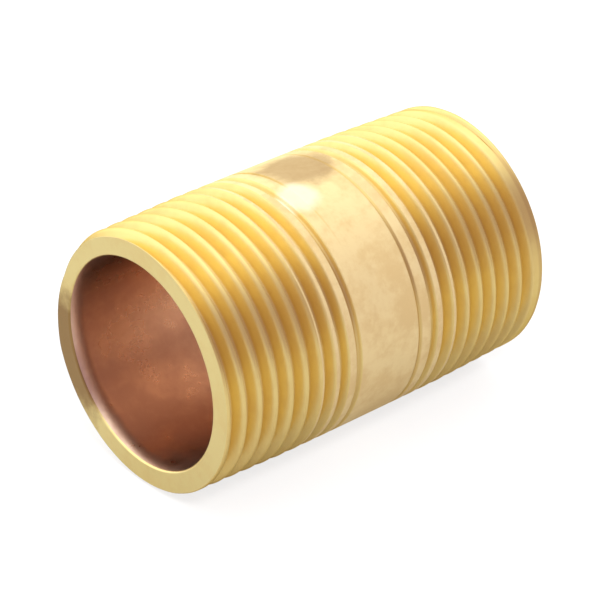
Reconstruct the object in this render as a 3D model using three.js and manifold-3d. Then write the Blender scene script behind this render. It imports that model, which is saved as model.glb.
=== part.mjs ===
// A short barrel nipple of brass, nominal size 1 inch, 2 inches long: one length of pipe with a right-hand
// taper pipe thread cut on each end, and a plain band left between the two threads.
//
// Frame: millimetres, +Z up. The nipple lies on its side, its axis is X and its middle is the origin. The
// two threads are alike but for where they begin: the one at -X starts on the edge of the end face, and the
// one at +X a little further in.

import * as THREE from "three";
import { mergeVertices } from "three/addons/utils/BufferGeometryUtils.js";
import Module from "manifold-3d";

const wasm = await Module();
wasm.setup();

// ---- Driving dimensions -------------------------------------------------------------------------------

const INCH = 25.4;
const LENGTH = 2 * INCH;
const PIPE_RADIUS = (1.315 * INCH) / 2; // outside of 1 inch pipe
const BORE_RADIUS = (1.062 * INCH) / 2; // inside of regular-weight brass pipe

const PITCH = INCH / 11;
const TAPER = 1 / 32; // rise of the radius along the axis: 1 in 16 on the diameter
const FLANK_ANGLE = THREE.MathUtils.degToRad(27.5); // each flank, from the plane across the axis
const GAUGE_CREST_RADIUS = 33.249 / 2; // over the crests in the gauge plane
const GAUGE_LENGTH = 4.5 * PITCH; // from the end face to the gauge plane
const FULL_THREAD_END = 16.8; // from the end face to where the root begins to rise
const THREAD_END = 21.8; // from the end face to where the root has left the pipe

// Where each groove begins: the distance from the end face at which it enters, the distance at which it has
// its full depth, and the facet at which it enters, counted from +Y towards +Z at the -X end.
const FRONT_LEAD = { enters: 0.15, full: 0.45, facet: -2 }; // cuts a notch in the rim
const REAR_LEAD = { enters: 0.65, full: 1.25, facet: 3 }; // leaves the rim whole

const OUTER_CHAMFER = 0.1; // 45 degrees
const MOUTH_CHAMFER = 0.2; // 45 degrees, where the bore's burr was taken off

const FACETS = 24; // round the pipe, and to each turn of the thread

// ---- Sizes worked out from them -----------------------------------------------------------------------

const HALF_LENGTH = LENGTH / 2;
const FACET_ANGLE = (2 * Math.PI) / FACETS;
const SHARP_HEIGHT = PITCH / 2 / Math.tan(FLANK_ANGLE); // of the V before its tip is cut off
const THREAD_DEPTH = (2 / 3) * SHARP_HEIGHT; // a sixth is cut off at the crest and at the root
const ROOT_WIDTH = PITCH / 6;
const END_CREST_RADIUS = GAUGE_CREST_RADIUS - TAPER * GAUGE_LENGTH;
const END_ROOT_RADIUS = END_CREST_RADIUS - THREAD_DEPTH;
const CLEARANCE = 0.06; // of the groove's cutter over the crests
const CORNER_REACH = 1 / Math.cos(FACET_ANGLE / 2); // of a facet's corner, to a radius of 1 at its middle

// ---- The helix that the thread's root follows ---------------------------------------------------------

// Radius of the root at a distance from the end face. It dives in from just above the pipe, follows the
// taper over the full thread, and then rises steadily until it is out of the pipe.
function rootRadius(distance, lead) {
  const onTaper = END_ROOT_RADIUS + TAPER * Math.min(distance, FULL_THREAD_END);
  const dive = Math.max(0, (lead.full - distance) / (lead.full - lead.enters));
  const runOut = Math.max(0, (distance - FULL_THREAD_END) / (THREAD_END - FULL_THREAD_END));
  return THREE.MathUtils.lerp(onTaper, PIPE_RADIUS, runOut) + dive * (THREAD_DEPTH + CLEARANCE);
}

// A right-hand helix along the thread at the -X end, from where the groove begins to where it runs out.
// Its steps are equal in angle, so that they fall on the pipe's facets, and its frames stay square to the
// pipe's axis.
class RootHelix extends THREE.Curve {
  constructor(lead) {
    super();
    this.lead = lead;
    this.steps = Math.ceil(((THREAD_END - lead.enters) / PITCH) * FACETS) + 1;
  }

  angleAt(t) {
    return (this.lead.facet + 0.5 + t * this.steps) * FACET_ANGLE;
  }

  getPoint(t, target = new THREE.Vector3()) {
    const distance = this.lead.enters + (PITCH * t * this.steps) / FACETS;
    const radius = rootRadius(distance, this.lead);
    const angle = this.angleAt(t);
    return target.set(distance - HALF_LENGTH, radius * Math.cos(angle), radius * Math.sin(angle));
  }

  getSpacedPoints(divisions) {
    return this.getPoints(divisions);
  }

  computeFrenetFrames(segments) {
    const frames = { tangents: [], normals: [], binormals: [] };
    for (let step = 0; step <= segments; step++) {
      const angle = this.angleAt(step / segments);
      frames.tangents.push(new THREE.Vector3(0, -Math.sin(angle), Math.cos(angle)));
      frames.normals.push(new THREE.Vector3(0, Math.cos(angle), Math.sin(angle)));
      frames.binormals.push(new THREE.Vector3(-1, 0, 0));
    }
    return frames;
  }
}

// ---- Solids -------------------------------------------------------------------------------------------

function solidFrom(geometry) {
  const bare = geometry.clone();
  bare.deleteAttribute("normal");
  bare.deleteAttribute("uv");
  const merged = mergeVertices(bare, 1e-4);
  return new wasm.Manifold(
    new wasm.Mesh({
      numProp: 3,
      vertProperties: new Float32Array(merged.attributes.position.array),
      triVerts: new Uint32Array(merged.index.array),
    }),
  );
}

function geometryFrom(solid) {
  const mesh = solid.getMesh();
  const geometry = new THREE.BufferGeometry();
  geometry.setAttribute("position", new THREE.BufferAttribute(mesh.vertProperties, 3));
  geometry.setIndex(new THREE.BufferAttribute(mesh.triVerts, 1));
  return geometry;
}

// The turned pipe before threading: its outside is coned down towards each end, its four edges are
// chamfered, and it is bored right through. It lies on a facet, and not on an edge between two.
function pipeBlank() {
  const coneLength = (PIPE_RADIUS - END_CREST_RADIUS) / TAPER;
  const chamferRadius = END_CREST_RADIUS + TAPER * OUTER_CHAMFER;
  const outside = [
    [chamferRadius - OUTER_CHAMFER, HALF_LENGTH],
    [chamferRadius, HALF_LENGTH - OUTER_CHAMFER],
    [PIPE_RADIUS, HALF_LENGTH - coneLength],
  ];
  const inside = [
    [BORE_RADIUS, HALF_LENGTH - MOUTH_CHAMFER],
    [BORE_RADIUS + MOUTH_CHAMFER, HALF_LENGTH],
  ];
  const rearHalf = [...inside, ...outside];
  const frontHalf = rearHalf.map(([radius, x]) => [radius, -x]).reverse();
  const outline = [...rearHalf, ...frontHalf, rearHalf[0]];
  const corners = outline.map(([radius, x]) => new THREE.Vector2(radius, x)).reverse();
  return new THREE.LatheGeometry(corners, FACETS, FACET_ANGLE / 2).rotateZ(-Math.PI / 2);
}

// What the threading die takes away at the -X end: the V between two crests, swept along the helix.
function threadGroove(lead) {
  const rise = THREAD_DEPTH + CLEARANCE;
  const mouthWidth = ROOT_WIDTH + 2 * rise * Math.tan(FLANK_ANGLE);
  const section = new THREE.Shape([
    new THREE.Vector2(0, -ROOT_WIDTH / 2),
    new THREE.Vector2(rise, -mouthWidth / 2),
    new THREE.Vector2(rise, mouthWidth / 2),
    new THREE.Vector2(0, ROOT_WIDTH / 2),
  ]);
  const helix = new RootHelix(lead);
  return new THREE.ExtrudeGeometry(section, { extrudePath: helix, steps: helix.steps });
}

// ---- The nipple ---------------------------------------------------------------------------------------

// The corners of the facets are moved out, so that the true radii are those at the middles of the facets.
function nippleGeometry() {
  const frontGroove = solidFrom(threadGroove(FRONT_LEAD));
  const rearGroove = solidFrom(threadGroove(REAR_LEAD).rotateZ(Math.PI));
  const threaded = solidFrom(pipeBlank()).subtract(frontGroove).subtract(rearGroove);
  return geometryFrom(threaded).scale(1, CORNER_REACH, CORNER_REACH);
}

const brass = new THREE.MeshStandardMaterial({ color: 0xe3b34f, roughness: 0.28, metalness: 1 });
const body = new THREE.Mesh(nippleGeometry(), brass);
body.name = "nipple_body";

const nipple = new THREE.Group();
nipple.add(body);

export default nipple;
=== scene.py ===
"""A short brass barrel nipple, lying on its side on a pale floor in soft studio light.

The nipple is one piece of brass. Geometry Nodes shape it from its real dimensions: an outside skin whose
grid follows the helix of the threads, and an inside skin that holds the two end faces and the bore.
"""

import math

import bpy
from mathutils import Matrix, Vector


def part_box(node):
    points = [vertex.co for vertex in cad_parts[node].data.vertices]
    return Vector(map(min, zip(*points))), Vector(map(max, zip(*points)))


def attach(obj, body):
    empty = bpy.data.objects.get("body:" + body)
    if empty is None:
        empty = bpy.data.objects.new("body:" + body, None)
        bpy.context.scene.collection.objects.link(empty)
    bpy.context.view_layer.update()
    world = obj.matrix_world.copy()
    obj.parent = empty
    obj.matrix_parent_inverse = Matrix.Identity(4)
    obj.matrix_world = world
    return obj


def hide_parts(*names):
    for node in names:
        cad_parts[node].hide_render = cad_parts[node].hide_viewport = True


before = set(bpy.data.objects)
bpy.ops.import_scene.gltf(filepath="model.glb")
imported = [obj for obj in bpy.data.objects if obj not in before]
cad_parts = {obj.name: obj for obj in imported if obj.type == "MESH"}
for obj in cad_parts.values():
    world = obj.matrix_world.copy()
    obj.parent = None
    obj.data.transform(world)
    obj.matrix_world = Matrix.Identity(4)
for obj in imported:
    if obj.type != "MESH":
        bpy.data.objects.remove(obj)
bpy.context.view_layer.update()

MM = 0.001

# ---- Driving dimensions ---------------------------------------------------------------------------------

NODE = "nipple_body"
HALF_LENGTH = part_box(NODE)[1].x
PIPE_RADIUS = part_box(NODE)[1].z

BORE_RADIUS = 13.487 * MM
PITCH = 25.4 / 11 * MM
TAPER = 1 / 32
FLANK_ANGLE = math.radians(27.5)
END_CREST_RADIUS = 16.3 * MM
FULL_THREAD_END = 16.8 * MM
THREAD_END = 21.8 * MM
OUTER_CHAMFER = 0.1 * MM
MOUTH_CHAMFER = 0.2 * MM

EDGE_SOFTNESS = 0.1 * MM
WAVINESS = 0.03 * MM
DENT_DEPTH = 0.07 * MM

SHARP_HEIGHT = PITCH / 2 / math.tan(FLANK_ANGLE)
CUT_OFF = SHARP_HEIGHT / 6
THREAD_DEPTH = SHARP_HEIGHT - 2 * CUT_OFF
ROUNDING = 0.1373 * PITCH

# Turns from +Y towards +Z at which the line of each groove meets the end face, and the distances from the
# end face at which the groove enters the metal and has its full depth.
FRONT_START = -0.1275
FRONT_ENTRY = 0.15 * MM
FRONT_FULL = 0.45 * MM
REAR_START = 0.6356
REAR_ENTRY = 0.65 * MM
REAR_FULL = 1.25 * MM
CLEARANCE = 0.06 * MM

# ---- Fineness of the mesh -------------------------------------------------------------------------------

STEPS_ROUND = 144
STEPS_A_PITCH = 20
BORE_STEPS = 24
FACE_STEPS = 8
SAME_PLACE = 0.001 * MM

# Numbers that mark which finish each face takes.
OUTSIDE_ZONE, FACE_ZONE, BORE_ZONE = 0.0, 1.0, 2.0


# ---- Arithmetic in node trees ---------------------------------------------------------------------------


def feed(tree, socket, value):
    """Sets a socket to a plain value, or links it to a Term or to another socket."""
    if isinstance(value, Term):
        value = value.socket
    if isinstance(value, bpy.types.NodeSocket):
        tree.links.new(value, socket)
    else:
        socket.default_value = value


def add_node(tree, kind, settings=None, **inputs):
    """Adds a node, sets its own settings, and feeds its inputs by name, with _ for each space."""
    node = tree.nodes.new(kind)
    for name, value in (settings or {}).items():
        setattr(node, name, value)
    for name, value in inputs.items():
        feed(tree, node.inputs[name.replace("_", " ")], value)
    return node


class Term:
    """A number in a node tree. Arithmetic on it adds the Math nodes that work out the result."""

    def __init__(self, tree, socket):
        self.tree = tree
        self.socket = socket

    def then(self, operation, *others):
        return math_term(self.tree, operation, self, *others)

    def __add__(self, other):
        return self.then("ADD", other)

    def __sub__(self, other):
        return self.then("SUBTRACT", other)

    def __rsub__(self, other):
        return math_term(self.tree, "SUBTRACT", other, self)

    def __mul__(self, other):
        return self.then("MULTIPLY", other)

    def __truediv__(self, other):
        return self.then("DIVIDE", other)

    def __lt__(self, other):
        return self.then("LESS_THAN", other)

    def __gt__(self, other):
        return self.then("GREATER_THAN", other)

    def __abs__(self):
        return self.then("ABSOLUTE")


def math_term(tree, operation, *values):
    """The result of a Math node."""
    node = add_node(tree, "ShaderNodeMath", {"operation": operation})
    for socket, value in zip(node.inputs, values):
        feed(tree, socket, value)
    return Term(tree, node.outputs[0])


def ramp(term, start, end, low=0.0, high=1.0, smooth=False):
    """Runs from low to high as the term goes from start to end, and stays there on either side."""
    style = "SMOOTHSTEP" if smooth else "LINEAR"
    node = add_node(
        term.tree,
        "ShaderNodeMapRange",
        {"interpolation_type": style, "clamp": True},
        Value=term,
        From_Min=start,
        From_Max=end,
        To_Min=low,
        To_Max=high,
    )
    return Term(term.tree, node.outputs["Result"])


def either(test, if_true, if_false):
    """if_true where the test is 1, and if_false where it is 0."""
    return test * if_true + (1.0 - test) * if_false


def split(tree, vector):
    """The X, Y and Z of a vector."""
    node = add_node(tree, "ShaderNodeSeparateXYZ", Vector=vector)
    return [Term(tree, socket) for socket in node.outputs]


def joined(tree, x, y, z):
    """The vector with this X, Y and Z."""
    return add_node(tree, "ShaderNodeCombineXYZ", X=x, Y=y, Z=z).outputs["Vector"]


def named_inputs(tree, sizes):
    """Gives a tree one number input for each size, and returns them as Terms, by name."""
    kinds = {int: "NodeSocketInt", float: "NodeSocketFloat"}
    for name, value in sizes.items():
        socket = tree.interface.new_socket(name=name, in_out="INPUT", socket_type=kinds[type(value)])
        socket.default_value = value
    entry = tree.nodes.new("NodeGroupInput")
    return {name: Term(tree, entry.outputs[name]) for name in sizes}


# ---- The shape ------------------------------------------------------------------------------------------

PIPE_SIZES = {
    "Half Length": HALF_LENGTH,
    "Pipe Radius": PIPE_RADIUS,
}
THREAD_SIZES = {
    "Pitch": PITCH,
    "Taper": TAPER,
    "End Crest Radius": END_CREST_RADIUS,
    "Full Thread End": FULL_THREAD_END,
    "Thread End": THREAD_END,
    "Outer Chamfer": OUTER_CHAMFER,
    "Front Start": FRONT_START,
    "Front Entry": FRONT_ENTRY,
    "Front Full": FRONT_FULL,
    "Rear Start": REAR_START,
    "Rear Entry": REAR_ENTRY,
    "Rear Full": REAR_FULL,
}


def thread_profile(offset, pitch):
    """Height above the root at an axial offset from the groove's middle: straight flanks, rounded ends."""
    from_axis = pitch / 4 - abs(offset - pitch / 4)
    straight = from_axis * (1 / math.tan(FLANK_ANGLE))
    arc = (CUT_OFF + ROUNDING) - (ROUNDING**2 - from_axis * from_axis).then("SQRT")
    rounded = either(from_axis < ROUNDING * math.cos(FLANK_ANGLE), arc, straight)
    return either(offset < pitch / 4, rounded, SHARP_HEIGHT - rounded) - CUT_OFF


def outside_radius_group():
    """A node group: the outside radius at a place along the axis and a turn round it."""
    tree = bpy.data.node_groups.new("Outside Radius", "GeometryNodeTree")
    size = named_inputs(tree, {"Along": 0.0, "Turn": 0.0, **PIPE_SIZES, **THREAD_SIZES})
    for name in ("Radius", "Groove Offset", "Skin"):
        tree.interface.new_socket(name=name, in_out="OUTPUT", socket_type="NodeSocketFloat")
    along, turn, pitch = size["Along"], size["Turn"], size["Pitch"]
    half_length, pipe_radius = size["Half Length"], size["Pipe Radius"]

    at_front = along < 0.0
    inward = half_length - abs(along)
    from_face = either(at_front, along + half_length, along - half_length)
    phase = from_face / pitch - turn + either(at_front, size["Front Start"], size["Rear Start"])
    ahead = (phase - phase.then("ROUND")) * pitch
    offset = abs(ahead)

    groove = half_length - abs(along - ahead)
    entry = either(at_front, size["Front Entry"], size["Rear Entry"])
    full = either(at_front, size["Front Full"], size["Rear Full"])
    dive = ((full - groove) / (full - entry)).then("MAXIMUM", 0.0) * (THREAD_DEPTH + CLEARANCE)

    crest = inward * size["Taper"] + size["End Crest Radius"]
    full_root = groove.then("MINIMUM", size["Full Thread End"]) * size["Taper"]
    full_root = full_root + size["End Crest Radius"] - THREAD_DEPTH
    past = (groove - size["Full Thread End"]).then("MAXIMUM", 0.0)
    run_out = past / (size["Thread End"] - size["Full Thread End"])
    root = full_root + run_out * (pipe_radius - full_root) + dive
    threaded = root + thread_profile(offset, pitch)

    chamfer = size["End Crest Radius"] - size["Outer Chamfer"] + inward
    blank = pipe_radius.then("MINIMUM", crest).then("MINIMUM", chamfer)
    radius = blank.then("SMOOTH_MIN", threaded, EDGE_SOFTNESS)
    uncut = ramp(threaded - blank, -0.02 * MM, 0.05 * MM, smooth=True)
    outermost = ramp(crest - pipe_radius, -0.03 * MM, 0.03 * MM)

    leave = tree.nodes.new("NodeGroupOutput")
    feed(tree, leave.inputs["Radius"], radius)
    feed(tree, leave.inputs["Groove Offset"], offset)
    feed(tree, leave.inputs["Skin"], uncut * outermost)
    return tree


def grid_sheet(tree, columns, rows):
    """A grid of quads, with the column and the turn of each of its points."""
    grid = add_node(
        tree,
        "GeometryNodeMeshGrid",
        Size_X=columns,
        Size_Y=rows,
        Vertices_X=columns + 1.0,
        Vertices_Y=rows + 1.0,
    )
    place = split(tree, tree.nodes.new("GeometryNodeInputPosition").outputs["Position"])
    return grid.outputs["Mesh"], place[0] + columns / 2, place[1] / rows + 0.5


def wrapped(tree, sheet, along, radius, turn):
    """The sheet with its points moved to a place along the axis, a radius and a turn."""
    angle = turn * math.tau
    place = joined(tree, along, radius * angle.then("COSINE"), radius * angle.then("SINE"))
    return add_node(tree, "GeometryNodeSetPosition", Geometry=sheet, Position=place).outputs["Geometry"]


def kept(tree, sheet, name, value, domain="POINT"):
    """The sheet with a number stored on its points, or on its faces."""
    settings = {"data_type": "FLOAT", "domain": domain}
    node = add_node(tree, "GeometryNodeStoreNamedAttribute", settings, Geometry=sheet)
    node.inputs["Name"].default_value = name
    feed(tree, node.inputs["Value"], value)
    return node.outputs["Geometry"]


def outside_at(tree, radius_group, size, along, turn):
    """The Outside Radius group, placed with this tree's own sizes."""
    node = add_node(tree, "GeometryNodeGroup", {"node_tree": radius_group}, Along=along, Turn=turn)
    for name in (*PIPE_SIZES, *THREAD_SIZES):
        feed(tree, node.inputs[name], size[name])
    return node


def outside_sheet(tree, radius_group, size):
    """The threads and the band. The columns slant along the helix, and stop at the end faces."""
    half_length, pitch = size["Half Length"], size["Pitch"]
    step = pitch / size["Steps A Pitch"]
    columns = ((half_length * 2 + pitch) / step).then("CEIL")
    sheet, column, turn = grid_sheet(tree, columns, size["Steps Round"])
    along = column * step + turn * pitch - half_length - pitch
    along = along.then("MINIMUM", half_length).then("MAXIMUM", half_length * -1.0)
    outside = outside_at(tree, radius_group, size, along, turn)
    sheet = kept(tree, sheet, "groove_offset", Term(tree, outside.outputs["Groove Offset"]) / pitch * 2)
    sheet = kept(tree, sheet, "skin", outside.outputs["Skin"])
    sheet = kept(tree, sheet, "zone", OUTSIDE_ZONE, "FACE")
    sheet = add_node(tree, "GeometryNodeFlipFaces", Mesh=sheet).outputs["Mesh"]
    return wrapped(tree, sheet, along, Term(tree, outside.outputs["Radius"]), turn)


def inside_sheet(tree, radius_group, size):
    """The end faces, the mouth chamfers and the bore, as one sheet from one rim to the other."""
    half_bore = size["Bore Steps"] / 2
    half_columns = half_bore + 1.0 + size["Face Steps"]
    sheet, column, turn = grid_sheet(tree, half_columns * 2, size["Steps Round"])
    from_middle = column - half_columns
    side = from_middle.then("SIGN")
    reach = abs(from_middle)
    chamfer = ramp(reach, half_bore, half_bore + 1.0) * size["Mouth Chamfer"]
    straight = ramp(reach, 0.0, half_bore) * (size["Half Length"] - size["Mouth Chamfer"])
    along = side * (straight + chamfer)
    rim = outside_at(tree, radius_group, size, side * size["Half Length"], turn)
    rim_radius = Term(tree, rim.outputs["Radius"])
    mouth_radius = size["Bore Radius"] + size["Mouth Chamfer"]
    across = ramp(reach, half_bore + 1.0, half_columns, smooth=True)
    radius = size["Bore Radius"] + chamfer + across * (rim_radius - mouth_radius)
    sheet = kept(tree, sheet, "groove_offset", 1.0)
    sheet = kept(tree, sheet, "skin", 0.0)
    zone = either(reach < half_bore, BORE_ZONE, FACE_ZONE)
    sheet = kept(tree, sheet, "zone", zone, "FACE")
    return wrapped(tree, sheet, along, radius, turn)


def handled(tree, mesh, size):
    """Slight waviness all over, and a few dents where the crests were knocked."""
    place = tree.nodes.new("GeometryNodeInputPosition").outputs["Position"]
    normal = tree.nodes.new("GeometryNodeInputNormal").outputs["Normal"]
    wave = add_node(tree, "ShaderNodeTexNoise", Vector=place, Scale=260.0, Detail=3.0, Roughness=0.6)
    height = (Term(tree, wave.outputs[0]) - 0.5) * size["Waviness"]
    spots = add_node(tree, "ShaderNodeTexVoronoi", Vector=place, Scale=190.0, Randomness=1.0)
    chosen = split(tree, spots.outputs["Color"])[0] > 0.8
    dent = ramp(Term(tree, spots.outputs["Distance"]), 0.05, 0.16, 1.0, 0.0, smooth=True) * chosen
    move = height - dent * size["Dent Depth"]
    shift = add_node(tree, "ShaderNodeVectorMath", {"operation": "SCALE"}, Vector=normal, Scale=move)
    node = add_node(tree, "GeometryNodeSetPosition", Geometry=mesh, Offset=shift.outputs["Vector"])
    return node.outputs["Geometry"]


def painted(tree, mesh, material, zone):
    """The mesh with a material on the faces of one zone and of those numbered above it."""
    mark = add_node(tree, "GeometryNodeInputNamedAttribute", {"data_type": "FLOAT"}, Name="zone")
    chosen = Term(tree, mark.outputs["Attribute"]) > zone - 0.5
    node = add_node(tree, "GeometryNodeSetMaterial", Geometry=mesh, Selection=chosen)
    node.inputs["Material"].default_value = material
    return node.outputs["Geometry"]


def nipple_tree(materials):
    """The whole nipple as a Geometry Nodes tree with its sizes as named inputs."""
    radius_group = outside_radius_group()
    tree = bpy.data.node_groups.new("Barrel Nipple", "GeometryNodeTree")
    size = named_inputs(
        tree,
        {
            **PIPE_SIZES,
            **THREAD_SIZES,
            "Bore Radius": BORE_RADIUS,
            "Mouth Chamfer": MOUTH_CHAMFER,
            "Waviness": WAVINESS,
            "Dent Depth": DENT_DEPTH,
            "Steps Round": STEPS_ROUND,
            "Steps A Pitch": STEPS_A_PITCH,
            "Bore Steps": BORE_STEPS,
            "Face Steps": FACE_STEPS,
        },
    )
    tree.interface.new_socket(name="Geometry", in_out="OUTPUT", socket_type="NodeSocketGeometry")
    join = tree.nodes.new("GeometryNodeJoinGeometry")
    for sheet in (outside_sheet(tree, radius_group, size), inside_sheet(tree, radius_group, size)):
        tree.links.new(sheet, join.inputs["Geometry"])
    mesh = add_node(
        tree,
        "GeometryNodeMergeByDistance",
        Geometry=join.outputs["Geometry"],
        Distance=SAME_PLACE,
    ).outputs["Geometry"]
    mesh = handled(tree, mesh, size)
    mesh = add_node(tree, "GeometryNodeSetShadeSmooth", Geometry=mesh).outputs["Geometry"]
    mesh = add_node(tree, "GeometryNodeRealizeInstances", Geometry=mesh).outputs["Geometry"]
    for zone, material in materials.items():
        mesh = painted(tree, mesh, material, zone)
    leave = tree.nodes.new("NodeGroupOutput")
    feed(tree, leave.inputs["Geometry"], mesh)
    return tree


def plain_mesh_from(tree, name):
    """The tree's result, with its inputs at their given sizes, as an object with no modifier."""
    maker = bpy.data.objects.new(name + "_maker", bpy.data.meshes.new(name + "_maker"))
    bpy.context.scene.collection.objects.link(maker)
    modifier = maker.modifiers.new("Shape", "NODES")
    modifier.node_group = tree
    for item in tree.interface.items_tree:
        if item.in_out == "INPUT":
            modifier[item.identifier] = item.default_value
    graph = bpy.context.evaluated_depsgraph_get()
    mesh = bpy.data.meshes.new_from_object(maker.evaluated_get(graph))
    bpy.data.objects.remove(maker)
    mesh.materials.pop(index=0)  # the empty slot that the new object began with
    mesh.name = name
    piece = bpy.data.objects.new(name, mesh)
    bpy.context.scene.collection.objects.link(piece)
    return piece


# ---- Shader effects that the finishes share -------------------------------------------------------------


def effect_group(name, inputs, outputs):
    """An empty shader group with these inputs and outputs: its tree, its inputs and its output node."""
    tree = bpy.data.node_groups.new(name, "ShaderNodeTree")
    kinds = {float: "NodeSocketFloat", tuple: "NodeSocketColor", Vector: "NodeSocketVector"}
    for label, value in inputs.items():
        socket = tree.interface.new_socket(name=label, in_out="INPUT", socket_type=kinds[type(value)])
        if not isinstance(value, Vector):
            socket.default_value = value
    for label, kind in outputs.items():
        tree.interface.new_socket(name=label, in_out="OUTPUT", socket_type=kind)
    entry = tree.nodes.new("NodeGroupInput")
    ends = {label: Term(tree, entry.outputs[label]) for label in inputs}
    return tree, ends, tree.nodes.new("NodeGroupOutput")


def place_group(tree, group, **inputs):
    """The group placed in a material, with its inputs fed by name."""
    return add_node(tree, "ShaderNodeGroup", {"node_tree": group}, **inputs)


def scaled(tree, vector, x, y, z):
    """A vector with each part multiplied."""
    node = add_node(tree, "ShaderNodeVectorMath", {"operation": "MULTIPLY"})
    feed(tree, node.inputs[0], vector)
    node.inputs[1].default_value = (x, y, z)
    return node.outputs["Vector"]


def noise(tree, vector, scale, detail=2.0, roughness=0.5):
    """Noise from 0 to 1."""
    node = add_node(
        tree,
        "ShaderNodeTexNoise",
        Vector=vector,
        Scale=scale,
        Detail=detail,
        Roughness=roughness,
    )
    return Term(tree, node.outputs[0])


def mixed(tree, amount, first, second):
    """A colour between two others."""
    node = add_node(tree, "ShaderNodeMix", {"data_type": "RGBA"})
    feed(tree, node.inputs[0], amount)
    feed(tree, node.inputs[6], first)
    feed(tree, node.inputs[7], second)
    return node.outputs[2]


def tool_marks_group():
    """Fine parallel marks across one direction of the vector, which fade in and out along the others."""
    inputs = {"Vector": Vector(), "Fineness": 1.0}
    tree, ends, leave = effect_group("Tool Marks", inputs, {"Height": "NodeSocketFloat"})
    fine = noise(tree, ends["Vector"], ends["Fineness"], 3.0, 0.65)
    coarse = noise(tree, ends["Vector"], ends["Fineness"] * 0.23, 2.0)
    feed(tree, leave.inputs["Height"], fine * 0.6 + coarse * 0.4)
    return tree


def tarnish_group():
    """Soft blotches where the bare metal has dulled: a mask, and the metal's colour with them."""
    inputs = {
        "Vector": Vector(),
        "Scale": 1.0,
        "Amount": 0.5,
        "Bright": (1.0, 1.0, 1.0, 1.0),
        "Dull": (0.5, 0.5, 0.5, 1.0),
    }
    outputs = {"Color": "NodeSocketColor", "Mask": "NodeSocketFloat"}
    tree, ends, leave = effect_group("Tarnish", inputs, outputs)
    broad = noise(tree, ends["Vector"], ends["Scale"], 4.0, 0.6)
    small = noise(tree, ends["Vector"], ends["Scale"] * 5.3, 3.0, 0.6)
    mask = ramp(broad * 0.7 + small * 0.3, 0.4, 0.62, smooth=True) * ends["Amount"]
    feed(tree, leave.inputs["Mask"], mask)
    feed(tree, leave.inputs["Color"], mixed(tree, mask, ends["Bright"], ends["Dull"]))
    return tree


def scratches_group():
    """Sparse fine scratches in two directions, as a height."""
    inputs = {"Vector": Vector(), "Scale": 1.0}
    tree, ends, leave = effect_group("Scratches", inputs, {"Height": "NodeSocketFloat"})
    height = None
    for stretch in ((0.05, 1.0, 1.0), (1.0, 0.3, 0.08)):
        lines = noise(tree, scaled(tree, ends["Vector"], *stretch), ends["Scale"], 2.0)
        line = ramp(abs(lines - 0.5), 0.0, 0.012, 1.0, 0.0)
        height = line if height is None else height + line
    feed(tree, leave.inputs["Height"], height)
    return tree


# ---- Materials ------------------------------------------------------------------------------------------

CUT_BRASS = (0.97, 0.76, 0.3, 1.0)
CUT_BRASS_DULL = (0.9, 0.66, 0.25, 1.0)
# Darker brass painted into the groove roots as shade.
ROOT_SHADE_BRASS = (0.82, 0.59, 0.23, 1.0)
SKIN_BRASS = (0.97, 0.8, 0.43, 1.0)
SKIN_BRASS_DULL = (0.86, 0.66, 0.32, 1.0)
BAND_STAIN = (0.45, 0.3, 0.15, 1.0)
# Pale cream painted on the band, near the front thread's run-out, as a highlight.
HIGHLIGHT_BRASS = (1.0, 0.96, 0.74, 1.0)
FACE_BRASS = (1.0, 0.83, 0.36, 1.0)
FACE_BRASS_DULL = (0.9, 0.66, 0.26, 1.0)
# Dark brown painted on part of the end face as shade.
FACE_SHADE = (0.34, 0.19, 0.07, 1.0)
BORE_BRASS = (0.9, 0.66, 0.5, 1.0)
BORE_BRASS_DULL = (0.76, 0.5, 0.38, 1.0)
BORE_EDGE = (0.45, 0.3, 0.22, 1.0)
CUT_EDGE = (0.75, 0.62, 0.34, 1.0)

BAND_STAIN_PLACE = (0.6 * MM, 1.8 * MM, 16.6 * MM)
BAND_STAIN_REACH = 6.0 * MM
# Where the painted highlight on the band is centred, and how far it reaches.
HIGHLIGHT_PLACE = (-3.8 * MM, -3.6 * MM, 16.3 * MM)
HIGHLIGHT_REACH = 3.2 * MM
# Where the painted shade on the end face is centred, and how far it reaches.
FACE_SHADE_PLACE = (-HALF_LENGTH, 14.3 * MM, -4.4 * MM)
FACE_SHADE_REACH = 10.5 * MM

MARK_DEPTH = 0.012 * MM
BORE_MARK_DEPTH = 0.005 * MM


def metal_material(name):
    """A metal with an empty finish: the tree, its Principled shader and its Object coordinates."""
    material = bpy.data.materials.new(name)
    material.use_nodes = True
    tree = material.node_tree
    shader = tree.nodes["Principled BSDF"]
    shader.inputs["Metallic"].default_value = 1.0
    place = tree.nodes.new("ShaderNodeTexCoord").outputs["Object"]
    return material, tree, shader, place


def attribute(tree, name):
    """A number that was stored on the mesh's points."""
    node = add_node(tree, "ShaderNodeAttribute", {"attribute_name": name})
    return Term(tree, node.outputs["Fac"])


def bumped(tree, shader, height, distance):
    """Gives the shader a bump of this height, in metres from its lowest to its highest."""
    node = add_node(tree, "ShaderNodeBump", Height=height, Distance=distance)
    tree.links.new(node.outputs["Normal"], shader.inputs["Normal"])


# Places the band's stain, the painted highlight on the band and the painted shade on the end face.
def patch_mask(tree, place, middle, reach):
    """A mask that is 1 at a place, and fades out unevenly within a distance of it."""
    away = add_node(tree, "ShaderNodeVectorMath", {"operation": "DISTANCE"})
    feed(tree, away.inputs[0], place)
    away.inputs[1].default_value = middle
    ragged = noise(tree, place, 420.0, 4.0, 0.6) - 0.5
    distance = Term(tree, away.outputs["Value"]) + ragged * reach * 0.6
    return ramp(distance, reach * 0.5, reach, 1.0, 0.0, smooth=True)


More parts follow.
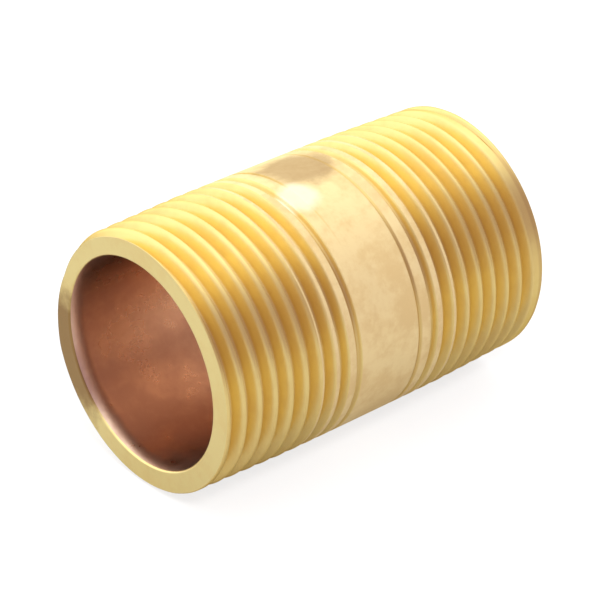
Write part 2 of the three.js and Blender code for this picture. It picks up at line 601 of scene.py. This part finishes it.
def outside_finish(groups):
    """Cut threads, bright and finely marked, with the pipe's own duller skin left between them."""
    material, tree, shader, place = metal_material("threaded_brass")
    x, y, z = split(tree, place)
    offset = attribute(tree, "groove_offset")
    skin = attribute(tree, "skin")

    along_thread = joined(tree, offset * 14.0, y * 90.0, z * 90.0)
    cut_marks = place_group(tree, groups["marks"], Vector=along_thread, Fineness=1.0)
    along_pipe = joined(tree, x * 90.0, y * 1400.0, z * 1400.0)
    skin_marks = place_group(tree, groups["marks"], Vector=along_pipe, Fineness=1.0)
    scratches = place_group(tree, groups["scratches"], Vector=place, Scale=900.0)

    cut = place_group(
        tree,
        groups["tarnish"],
        Vector=place,
        Scale=120.0,
        Amount=0.45,
        Bright=CUT_BRASS,
        Dull=CUT_BRASS_DULL,
    )
    drawn = place_group(
        tree,
        groups["tarnish"],
        Vector=place,
        Scale=170.0,
        Amount=0.7,
        Bright=SKIN_BRASS,
        Dull=SKIN_BRASS_DULL,
    )
    # Painted shade: the groove roots take a darker brass.
    root_shade = ramp(offset, 0.12, 0.42, 1.0, 0.0, smooth=True)
    cut_colour = mixed(tree, root_shade, cut.outputs["Color"], ROOT_SHADE_BRASS)
    colour = mixed(tree, skin, cut_colour, drawn.outputs["Color"])
    stain_and_shade = patch_mask(tree, place, BAND_STAIN_PLACE, BAND_STAIN_REACH)
    colour = mixed(tree, stain_and_shade * 0.7, colour, BAND_STAIN)
    # Painted highlight: a pale cream spot on the band.
    painted_highlight = patch_mask(tree, place, HIGHLIGHT_PLACE, HIGHLIGHT_REACH)
    colour = mixed(tree, painted_highlight * 0.8, colour, HIGHLIGHT_BRASS)
    tree.links.new(colour, shader.inputs["Base Color"])
    shader.inputs["Specular Tint"].default_value = CUT_EDGE
    feed(tree, shader.inputs["Metallic"], 1.0 - skin * 0.4)

    cut_rough = Term(tree, cut.outputs["Mask"]) * 0.15 + 0.34
    skin_rough = Term(tree, drawn.outputs["Mask"]) * 0.15 + 0.66
    feed(tree, shader.inputs["Roughness"], either(skin, skin_rough, cut_rough))

    cut_height = Term(tree, cut_marks.outputs["Height"])
    skin_height = Term(tree, skin_marks.outputs["Height"]) * 0.7
    scratch_height = Term(tree, scratches.outputs["Height"]) * skin * 0.5
    bumped(tree, shader, either(skin, skin_height, cut_height) - scratch_height, MARK_DEPTH)
    return material


def face_finish(groups):
    """The cut-off ends: bright, with rings left by the parting tool."""
    material, tree, shader, place = metal_material("turned_brass")
    _, y, z = split(tree, place)
    radius = (y * y + z * z).then("SQRT")
    rings = joined(tree, radius * 9000.0, y * 80.0, z * 80.0)
    marks = place_group(tree, groups["marks"], Vector=rings, Fineness=1.0)
    metal = place_group(
        tree,
        groups["tarnish"],
        Vector=place,
        Scale=150.0,
        Amount=0.35,
        Bright=FACE_BRASS,
        Dull=FACE_BRASS_DULL,
    )
    # Painted shade: part of the end face darkened to brown.
    stain_and_shade = patch_mask(tree, place, FACE_SHADE_PLACE, FACE_SHADE_REACH)
    colour = mixed(tree, stain_and_shade * 0.9, metal.outputs["Color"], FACE_SHADE)
    tree.links.new(colour, shader.inputs["Base Color"])
    feed(tree, shader.inputs["Roughness"], Term(tree, metal.outputs["Mask"]) * 0.2 + 0.3)
    bumped(tree, shader, Term(tree, marks.outputs["Height"]), MARK_DEPTH)
    return material


def bore_finish(groups):
    """The bore: the browned skin of drawn pipe, with long faint lines."""
    material, tree, shader, place = metal_material("drawn_bore_brass")
    x, y, z = split(tree, place)
    lines = joined(tree, x * 40.0, y * 900.0, z * 900.0)
    marks = place_group(tree, groups["marks"], Vector=lines, Fineness=1.0)
    metal = place_group(
        tree,
        groups["tarnish"],
        Vector=place,
        Scale=110.0,
        Amount=0.8,
        Bright=BORE_BRASS,
        Dull=BORE_BRASS_DULL,
    )
    tree.links.new(metal.outputs["Color"], shader.inputs["Base Color"])
    feed(tree, shader.inputs["Roughness"], Term(tree, metal.outputs["Mask"]) * 0.12 + 0.26)
    shader.inputs["Specular Tint"].default_value = BORE_EDGE
    bumped(tree, shader, Term(tree, marks.outputs["Height"]), BORE_MARK_DEPTH)
    return material


# ---- The stage ------------------------------------------------------------------------------------------

CAMERA_AZIMUTH = math.radians(-41.17)
CAMERA_ELEVATION = math.radians(29.97)
CAMERA_DISTANCE = 337.9 * MM
CAMERA_LENS = 165.4
CAMERA_SHIFT = (-0.003, -0.0109)

FLOOR_SIZE = 0.8
FLOOR_COLOUR = (0.5, 0.5, 0.5, 1.0)
FLOOR_COLOUR_SEEN = (0.25, 0.25, 0.25, 1.0)
FLOOR_GLOW_SEEN = 0.78
DIM_SIDE = (0.44, 0.34, 0.39, 1.0)
BRIGHT_SIDE = (1.42, 1.42, 1.42, 1.0)
TOWARDS_BRIGHT = (0.0, 0.7, 0.7)
DIM_UP_TO, BRIGHT_FROM = -0.05, 0.62
SURROUND = (1.0, 1.0, 1.0, 1.0)
KEY_PLACE = (-0.3, -0.6, 0.74)
KEY_SIZE = (0.2, 0.2)
KEY_RADIANCE = 45.0


def add_camera():
    """Looks at the middle of the nipple from the front left, above."""
    data = bpy.data.cameras.new("camera")
    data.sensor_width = 36.0
    data.lens = CAMERA_LENS
    data.shift_x, data.shift_y = CAMERA_SHIFT
    level = math.cos(CAMERA_ELEVATION)
    back = Vector(
        (
            math.sin(CAMERA_AZIMUTH) * level,
            -math.cos(CAMERA_AZIMUTH) * level,
            math.sin(CAMERA_ELEVATION),
        )
    )
    camera = bpy.data.objects.new("camera", data)
    camera.location = back * CAMERA_DISTANCE
    camera.rotation_euler = (-back).to_track_quat("-Z", "Y").to_euler()
    bpy.context.scene.collection.objects.link(camera)
    bpy.context.scene.camera = camera


def add_floor():
    """A plain floor that the nipple lies on. To the camera it is paler and its shadows are fainter."""
    half = FLOOR_SIZE / 2
    height = -PIPE_RADIUS
    corners = [(-half, -half, height), (half, -half, height), (half, half, height), (-half, half, height)]
    mesh = bpy.data.meshes.new("floor")
    mesh.from_pydata(corners, [], [(0, 1, 2, 3)])
    material = bpy.data.materials.new("pale_floor")
    material.use_nodes = True
    tree = material.node_tree
    shader = tree.nodes["Principled BSDF"]
    seen = Term(tree, add_node(tree, "ShaderNodeLightPath").outputs["Is Camera Ray"])
    feed(tree, shader.inputs["Base Color"], mixed(tree, seen, FLOOR_COLOUR, FLOOR_COLOUR_SEEN))
    shader.inputs["Emission Color"].default_value = (1.0, 1.0, 1.0, 1.0)
    feed(tree, shader.inputs["Emission Strength"], seen * FLOOR_GLOW_SEEN)
    shader.inputs["Roughness"].default_value = 0.9
    shader.inputs["Specular IOR Level"].default_value = 0.1
    mesh.materials.append(material)
    floor = bpy.data.objects.new("floor", mesh)
    bpy.context.scene.collection.objects.link(floor)


def add_room():
    """Soft light from all round, bright overhead and on the far side and dim on the near side.

    The camera itself sees a plain pale surround.
    """
    world = bpy.data.worlds.new("room")
    world.use_nodes = True
    tree = world.node_tree
    background = tree.nodes["Background"]
    direction = add_node(tree, "ShaderNodeTexCoord").outputs["Generated"]
    across = add_node(tree, "ShaderNodeVectorMath", {"operation": "DOT_PRODUCT"})
    feed(tree, across.inputs[0], direction)
    across.inputs[1].default_value = TOWARDS_BRIGHT
    glow = ramp(Term(tree, across.outputs["Value"]), DIM_UP_TO, BRIGHT_FROM, smooth=True)
    light = mixed(tree, glow, DIM_SIDE, BRIGHT_SIDE)
    seen = add_node(tree, "ShaderNodeLightPath").outputs["Is Camera Ray"]
    feed(tree, background.inputs["Color"], mixed(tree, seen, light, SURROUND))
    bpy.context.scene.world = world


def add_key_light():
    """A soft box in front and above, which lights the dull skin and isn't mirrored in the bright metal."""
    width, height = KEY_SIZE
    data = bpy.data.lights.new("key", "AREA")
    data.shape = "RECTANGLE"
    data.size, data.size_y = width, height
    data.energy = KEY_RADIANCE * math.pi * width * height
    light = bpy.data.objects.new("key", data)
    light.location = KEY_PLACE
    light.rotation_euler = Vector(KEY_PLACE).to_track_quat("Z", "Y").to_euler()
    light.visible_glossy = False
    light.visible_camera = False
    bpy.context.scene.collection.objects.link(light)


# ---- Making it ------------------------------------------------------------------------------------------


def make_nipple():
    groups = {
        "marks": tool_marks_group(),
        "tarnish": tarnish_group(),
        "scratches": scratches_group(),
    }
    materials = {
        OUTSIDE_ZONE: outside_finish(groups),
        FACE_ZONE: face_finish(groups),
        BORE_ZONE: bore_finish(groups),
    }
    nipple = plain_mesh_from(nipple_tree(materials), "barrel_nipple")
    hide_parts(NODE)
    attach(nipple, "root")


bpy.context.scene.view_settings.view_transform = "Standard"
add_camera()
add_floor()
add_room()
add_key_light()
make_nipple()
